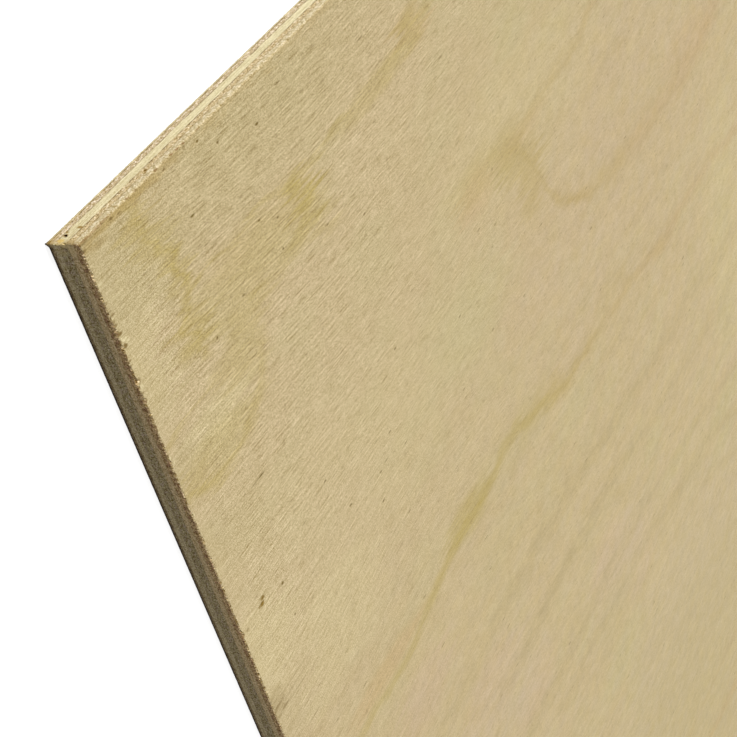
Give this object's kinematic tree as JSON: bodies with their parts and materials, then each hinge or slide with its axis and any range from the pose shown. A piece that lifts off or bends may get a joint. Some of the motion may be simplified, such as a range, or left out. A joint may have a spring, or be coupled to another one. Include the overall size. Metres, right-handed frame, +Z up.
{
  "type": "plywood sheet",
  "caption": "Flat rectangular sheet of thin birch plywood, laid up from cross-grained veneers, with plain sawn edges.",
  "frame": {"origin": "middle of the underside, on the floor that the sheet lies on", "axes": "+X along the sheet's length and its face grain, +Y across its width, +Z up out of the face veneer"},
  "size_m": [1.22, 0.61, 0.006],
  "materials": {
    "face_birch": "sanded, unfinished rotary-cut veneer, fine grain along the sheet",
    "crossband_birch": "rough sawn veneer edge, grain across the sheet",
    "core_birch": "rough sawn veneer edge, grain along the sheet",
    "back_birch": "sanded, unfinished rotary-cut veneer, grain along the sheet"
  },
  "bodies": {
    "root": {"face_veneer": "face_birch", "upper_crossband": "crossband_birch", "centre_core": "core_birch", "lower_crossband": "crossband_birch", "back_veneer": "back_birch"}
  },
  "joints": []
}
